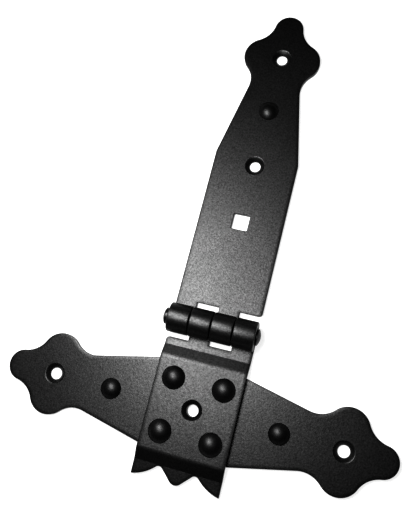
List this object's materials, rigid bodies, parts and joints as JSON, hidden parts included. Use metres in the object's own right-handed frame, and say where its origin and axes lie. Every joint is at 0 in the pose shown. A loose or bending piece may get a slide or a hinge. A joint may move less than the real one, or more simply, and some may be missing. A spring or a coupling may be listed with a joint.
{
  "type": "door hinge",
  "caption": "Decorative cross hinge of flat steel: a strap leaf with a three-lobed tip turns on a pin in a saddle plate riveted over a cross plate, with domed rivets",
  "frame": {"origin": "centre of the hinge lying flat on its back, at the height of its back face", "axes": "+X along the hinge pin, to the right as seen from the front; +Y from the cross plate towards the strap's tip; +Z out of the face, away from the door"},
  "size_m": [0.202, 0.258, 0.015],
  "materials": {
    "black_coat": "satin black powder coat with a fine grain",
    "rivet_coat": "satin black powder coat, smoother over the domes",
    "pin_coat": "satin black powder coat over the peened ends"
  },
  "bodies": {
    "base": {"cross_plate": "black_coat", "saddle_plate": "black_coat", "hinge_pin": "pin_coat", "left_upper_saddle_rivet": "rivet_coat", "left_lower_saddle_rivet": "rivet_coat", "right_upper_saddle_rivet": "rivet_coat", "right_lower_saddle_rivet": "rivet_coat", "left_arm_rivet": "rivet_coat", "right_arm_rivet": "rivet_coat"},
    "strap": {"strap_leaf": "black_coat", "strap_rivet": "rivet_coat"}
  },
  "joints": [
    {"name": "strap_hinge", "type": "hinge", "parent": "base", "child": "strap", "pos_m": [0, -0.05006, 0.0075], "axis": [1, 0, 0], "range_deg": [-90, 180]}
  ]
}
